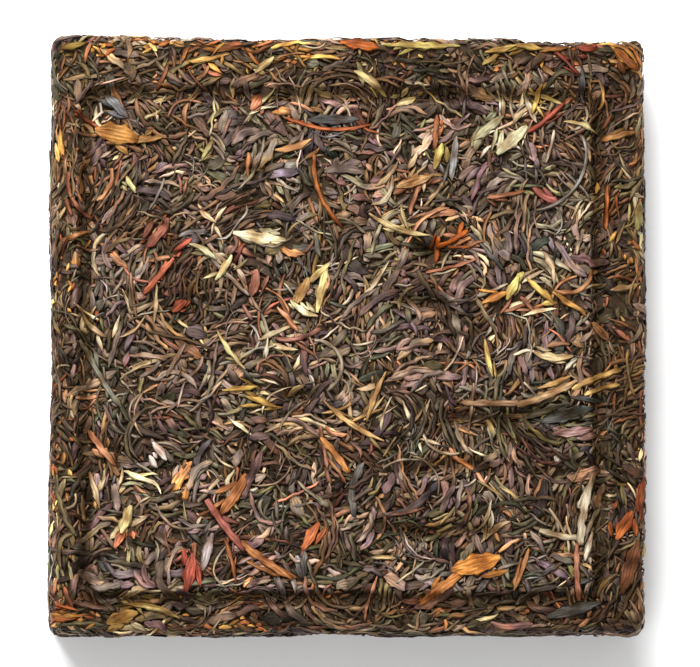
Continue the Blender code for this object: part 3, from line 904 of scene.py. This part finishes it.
def leaf_skins(leaves, stations, ring, kind):
    """The points of each leaf's skin, with the colour and the place on the leaf of each."""
    share = np.linspace(0.0, 1.0, stations)
    places = leaves.first[:, None] + share * (leaves.last - leaves.first)[:, None]
    point, way, outward, depth = (
        at_stations(values, places)
        for values in (leaves.point, leaves.way, leaves.outward, leaves.depth)
    )
    outward = unit(outward)
    across = np.cross(outward, unit(way))
    along = places / (SAMPLES - 1)
    taper = narrowing(along, leaves)
    here = (along * leaves.length[:, None])[..., None]
    phase = leaves.phase[:, None, None]
    lane = np.append(np.linspace(-1.0, 1.0, ring - 1), 0.0)
    number = np.arange(ring)
    own = phase * (3.0 + 2.3 * number)
    drift = 0.5 / (ring - 2) * np.sin(1.2 * here + own)
    ragged = 0.2 * np.minimum(1.0, 0.6 / leaves.width)[:, None, None]
    torn = ragged * np.sin(9.7 * here + 5.0 * own) + 0.24 * np.sin(2.3 * here + own)
    edge = np.abs(lane) == 1.0
    across_share = np.where(edge, lane * (1.0 + torn), lane + drift)
    beside = 0.5 * (leaves.width[:, None] * taper)[..., None] * across_share
    rise_and_fall = np.where(number % 2 == 0, -1.0, 1.0) * (0.7 + 0.3 * np.sin(0.9 * here + own))
    folds = rise_and_fall + 0.5 * np.sin(2.1 * here + 2.0 * own)
    height = 1.0 - kind.arch * lane ** 2 + kind.ridge * folds * (1.0 - 0.4 * lane ** 2)
    height[..., -1] = 0.0
    thick = (leaves.thick[:, None] * (0.5 + 0.5 * taper))[..., None]
    below = -thick * (1.0 - height)
    roll = leaves.roll[:, None, None] * np.cos(0.5 * here + phase)
    side = beside * np.cos(roll) - below * np.sin(roll)
    rise = beside * np.sin(roll) + below * np.cos(roll) - depth[..., None]
    skin = (
        point[:, :, None]
        + side[..., None] * across[:, :, None]
        + rise[..., None] * outward[:, :, None]
    )
    turned = smooth_step(0.35 + 0.75 * np.sin(1.1 * here + 5.0 * phase) + 0.35 * lane)
    turned = turned[..., None]
    colour = linear(leaves.tint)[:, None, None] * (1.0 - turned)
    colour = colour + linear(leaves.other)[:, None, None] * turned
    # Painted light: the folds' ridges paler as if lit, their valleys darker as if shaded; the leaf is
    # also darker towards its edges.
    tone = (1.0 + FOLD_PAINTED_LIGHT * kind.ridge * folds) * (1.0 - 0.2 * lane ** 2)
    # Painted shade in the line, the creases, the hollows, on the rim and at the corners.
    tone = tone * (1.0 + 0.08 * np.sin(phase * 7.0 + here * 1.7)) * painted_relief_shade(skin)
    # Painted shade: a leaf that lies under others is painted darker.
    tone = tone * (1.0 - SUNK_SHADE * smooth_step(depth / DEEPEST))[..., None]
    grain = np.stack(np.broadcast_arrays(beside, here, phase * 40.0), axis=-1)
    return skin, colour * np.clip(tone, 0.12, 1.6)[..., None] ** DEEPENING, grain


def leaf_faces(count, stations, ring):
    """The side faces of each leaf and the caps on its two ends, as rows of point numbers."""
    base = np.arange(count)[:, None, None] * stations * ring
    here = base + np.arange(stations - 1)[None, :, None] * ring
    a = here + np.arange(ring)
    b = here + (np.arange(ring) + 1) % ring
    sides = np.stack([a, a + ring, b + ring, b], axis=-1).reshape(-1, 4)
    start = base[:, 0] + np.arange(ring)
    end = start[:, ::-1] + (stations - 1) * ring
    return sides, np.concatenate([start, end])


def bake_places(first, count, total, stations, ring):
    """Places of every face corner on a map where each of the piece's leaves has its own cell."""
    columns = max(1, round(math.sqrt(total / 2.5)))
    rows = math.ceil(total / columns)
    cell = np.array([1.0 / columns, 1.0 / rows])
    number = first + np.arange(count)
    corner = np.stack([number % columns, number // columns], axis=1) * cell
    u = 0.08 + 0.84 * np.arange(stations) / (stations - 1)
    v = 0.06 + 0.88 * np.arange(ring + 1) / ring
    a, b, c, d = u[:-1, None], u[1:, None], v[None, :-1], v[None, 1:]
    grid = np.stack([
        np.stack(np.broadcast_arrays(one, other), axis=-1)
        for one, other in ((a, c), (b, c), (b, d), (a, d))
    ], axis=2)
    sides = corner[:, None, None, None] + grid[None] * cell
    turn = 2.0 * math.pi * np.arange(ring) / ring
    disc = np.stack([0.02 * np.cos(turn), 0.3 * np.sin(turn)], axis=1)
    start = corner[:, None] + (np.array([0.04, 0.5]) + disc) * cell
    end = corner[:, None] + (np.array([0.96, 0.5]) + disc[::-1]) * cell
    return np.concatenate([part.reshape(-1, 2) for part in (sides, start, end)])


def make_piece(name, leaves, kind, gap, fold, material):
    """Joins leaves of one kind into one mesh, its points about a gap apart along each leaf and
    a fold's width apart across it."""
    shown = (leaves.last - leaves.first) * leaves.step
    stations = np.clip(np.rint(shown / gap) + 1, 3, 14).astype(int)
    rings = np.clip(np.rint(leaves.width / fold) + 2, 5, 12).astype(int)
    points, faces, colours, grains, places = [], [], [], [], []
    first, done = 0, 0
    for number, ring in sorted(set(zip(stations.tolist(), rings.tolist()))):
        some = pick(leaves, (stations == number) & (rings == ring))
        count = len(some.kind)
        skin, colour, grain = leaf_skins(some, number, ring, kind)
        points.append(pressed(skin).reshape(-1, 3) * MM)
        colours.append(np.concatenate([colour, np.ones_like(colour[..., :1])], -1).reshape(-1, 4))
        grains.append(grain.reshape(-1, 3))
        sides, caps = leaf_faces(count, number, ring)
        faces += (sides + first).tolist() + (caps + first).tolist()
        places.append(bake_places(done, count, len(leaves.kind), number, ring))
        first += len(points[-1])
        done += count
    mesh = bpy.data.meshes.new(name)
    mesh.from_pydata(np.concatenate(points).tolist(), [], faces)
    mesh.shade_smooth()
    tint = mesh.color_attributes.new("tint", "FLOAT_COLOR", "POINT")
    tint.data.foreach_set("color", np.concatenate(colours).astype(np.float32).ravel())
    lie = mesh.attributes.new("grain", "FLOAT_VECTOR", "POINT")
    lie.data.foreach_set("vector", np.concatenate(grains).astype(np.float32).ravel())
    layer = mesh.uv_layers.new(name="OFBake")
    layer.data.foreach_set("uv", np.concatenate(places).astype(np.float32).ravel())
    mesh.materials.append(material)
    piece = bpy.data.objects.new(name, mesh)
    bpy.context.scene.collection.objects.link(piece)
    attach(piece, "root")
    return piece


def make_core():
    """The dark mass behind the leaves, in the brick's form and a little inside its surface.
    Its dark is painted shade, for the gaps between the leaves.
    """
    form = bmesh.new()
    bmesh.ops.create_cube(form, size=1.0)
    bmesh.ops.subdivide_edges(form, edges=form.edges[:], cuts=CORE_CUTS, use_grid_fill=True)
    cube = np.array([vertex.co for vertex in form.verts])
    points, outward = on_surface((LOW + HIGH) / 2.0 + cube * (HIGH - LOW))
    bumps = np.array([noise.fractal(Vector(p) * 0.8, 1.0, 2.0, 3) for p in points])
    off_edge = np.sort(np.minimum(points - LOW, HIGH - points), axis=1)[:, 1]
    depth = CORE_DEPTH - EDGE_FILL * smooth_step(1.0 - off_edge / EDGE_REACH) - 0.35 * bumps
    points = pressed(points - outward * depth[:, None]) * MM
    for vertex, point in zip(form.verts, points):
        vertex.co = point
    mesh = bpy.data.meshes.new("core")
    form.to_mesh(mesh)
    form.free()
    mesh.shade_smooth()
    mesh.materials.append(core_material())
    core = bpy.data.objects.new("core", mesh)
    bpy.context.scene.collection.objects.link(core)
    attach(core, "root")
    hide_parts("brick")
    return core


# ------------------------------------------------------------ materials

def node(tree, kind, inputs=None, **settings):
    """A new node, its plain inputs set by name and linked inputs joined."""
    made = tree.nodes.new(kind)
    for name, value in settings.items():
        setattr(made, name, value)
    for name, value in (inputs or {}).items():
        if isinstance(value, bpy.types.NodeSocket):
            tree.links.new(value, made.inputs[name])
        else:
            made.inputs[name].default_value = value
    return made


def mapped(tree, value, low, high):
    """Noise, whose values lie about a half, spread from low to high."""
    inputs = {"Value": value, "From Min": 0.36, "From Max": 0.64, "To Min": low, "To Max": high}
    return node(tree, "ShaderNodeMapRange", inputs).outputs["Result"]


def new_material(name):
    """A new material with its tree and its Principled shader."""
    material = bpy.data.materials.new(name)
    material.use_nodes = True
    tree = material.node_tree
    return material, tree, tree.nodes["Principled BSDF"]


def leaf_material(kind):
    """Dry leaf: its own colour, veined along its length and mottled, with fine raised veins."""
    material, tree, shader = new_material(kind.name)
    tint = node(tree, "ShaderNodeAttribute", attribute_name="tint").outputs["Color"]
    grain = node(tree, "ShaderNodeAttribute", attribute_name="grain").outputs["Vector"]
    stretch = node(
        tree, "ShaderNodeVectorMath", {0: grain, 1: (3.2, 0.45, 1.0)}, operation="MULTIPLY"
    ).outputs["Vector"]
    veins = node(tree, "ShaderNodeTexNoise", {"Vector": stretch, "Scale": 1.0, "Detail": 2.0})
    place = node(tree, "ShaderNodeTexCoord").outputs["Object"]
    mottle = node(tree, "ShaderNodeTexNoise", {"Vector": place, "Scale": 900.0, "Detail": 3.0})
    tone = node(
        tree,
        "ShaderNodeMath",
        {
            0: mapped(tree, veins.outputs["Fac"], 0.62, 1.36),
            1: mapped(tree, mottle.outputs["Fac"], 0.86, 1.14),
        },
        operation="MULTIPLY",
    ).outputs["Value"]
    colour = node(
        tree, "ShaderNodeVectorMath", {0: tint, "Scale": tone}, operation="SCALE"
    ).outputs["Vector"]
    bump = node(
        tree,
        "ShaderNodeBump",
        {"Height": veins.outputs["Fac"], "Strength": 0.7, "Distance": 0.00014},
    ).outputs["Normal"]
    tree.links.new(colour, shader.inputs["Base Color"])
    rough = mapped(tree, mottle.outputs["Fac"], kind.roughness - 0.07, kind.roughness + 0.09)
    tree.links.new(rough, shader.inputs["Roughness"])
    tree.links.new(bump, shader.inputs["Normal"])
    shader.inputs["Specular IOR Level"].default_value = 0.14
    shader.inputs["Specular Tint"].default_value = (1.0, 0.8, 0.6, 1.0)
    return material


def core_material():
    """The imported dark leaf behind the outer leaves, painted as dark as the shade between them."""
    material, tree, shader = new_material("core")
    place = node(tree, "ShaderNodeTexCoord").outputs["Object"]
    coarse = node(tree, "ShaderNodeTexNoise", {"Vector": place, "Scale": 900.0, "Detail": 4.0})
    ramp = node(tree, "ShaderNodeValToRGB", {"Fac": coarse.outputs["Fac"]})
    ramp.color_ramp.elements[0].position = 0.3
    ramp.color_ramp.elements[0].color = (0.014, 0.008, 0.003, 1.0)
    ramp.color_ramp.elements[1].position = 0.75
    ramp.color_ramp.elements[1].color = (0.038, 0.022, 0.011, 1.0)
    bump = node(
        tree,
        "ShaderNodeBump",
        {"Height": coarse.outputs["Fac"], "Strength": 0.8, "Distance": 0.0004},
    ).outputs["Normal"]
    tree.links.new(ramp.outputs["Color"], shader.inputs["Base Color"])
    tree.links.new(bump, shader.inputs["Normal"])
    shader.inputs["Roughness"].default_value = 0.75
    shader.inputs["Specular IOR Level"].default_value = 0.1
    return material


# ------------------------------------------------------------ stage, light and camera

def make_stage():
    """A plain pale floor and soft studio light, the stronger from behind the brick."""
    bpy.ops.mesh.primitive_plane_add(size=4.0, location=(0.0, 0.0, 0.0))
    floor = bpy.context.object
    floor.name = "floor"
    material, _, shader = new_material("floor")
    shader.inputs["Base Color"].default_value = (0.82, 0.82, 0.82, 1.0)
    shader.inputs["Roughness"].default_value = 0.9
    floor.data.materials.append(material)
    world = bpy.data.worlds.new("studio")
    world.use_nodes = True
    world.node_tree.nodes["Background"].inputs["Color"].default_value = (1.0, 0.99, 0.985, 1.0)
    world.node_tree.nodes["Background"].inputs["Strength"].default_value = 0.55
    bpy.context.scene.world = world
    soft_light("key", (-0.13, 0.34, 0.50), 0.35, 9.95)
    soft_light("fill", (-0.5, -0.5, 1.0), 0.8, 5.2)


def soft_light(name, place, size, power):
    """A square area light that faces the brick."""
    lamp = bpy.data.lights.new(name, "AREA")
    lamp.size = size
    lamp.energy = power
    light = bpy.data.objects.new(name, lamp)
    light.location = place
    light.rotation_euler = (-Vector(place)).to_track_quat("-Z", "Y").to_euler()
    bpy.context.scene.collection.objects.link(light)


def make_camera():
    """A camera almost overhead, a little to the front and left, with the sides upright in view."""
    target = Vector((0.0, 0.0, HEIGHT * MM))
    place = Vector((-0.050, -0.070, 0.85)) + target
    back = (place - target).normalized()
    right = Vector((0.0, 1.0, 0.0)).cross(back).normalized()
    up = back.cross(right)
    lens = bpy.data.cameras.new("camera")
    lens.sensor_width = 36.0
    lens.lens = 262.0
    camera = bpy.data.objects.new("camera", lens)
    turn = Matrix((right, up, back)).transposed()
    camera.matrix_world = Matrix.Translation(place) @ turn.to_4x4()
    bpy.context.scene.collection.objects.link(camera)
    bpy.context.scene.camera = camera


make_camera()
make_stage()
bpy.context.scene.view_settings.view_transform = "Standard"
make_core()

drawn = [draw_leaves(number, kind) for number, kind in enumerate(KINDS)]
leaves = gather([prepared(batch) for batch in [placed_features(), clustered()] + drawn])
lay(leaves)
leaves = keep_seen(leaves)
for number, kind in enumerate(KINDS):
    finish_of_kind = leaf_material(kind)
    looks = (("face", (FACE,), 0.8, FOLD_WIDTH), ("walls", (WALL, BASE), 1.3, 1.7 * FOLD_WIDTH))
    for suffix, regions, gap, fold in looks:
        chosen = pick(leaves, (leaves.kind == number) & np.isin(leaves.region, regions))
        make_piece(f"{kind.name}_{suffix}", chosen, kind, gap, fold, finish_of_kind)
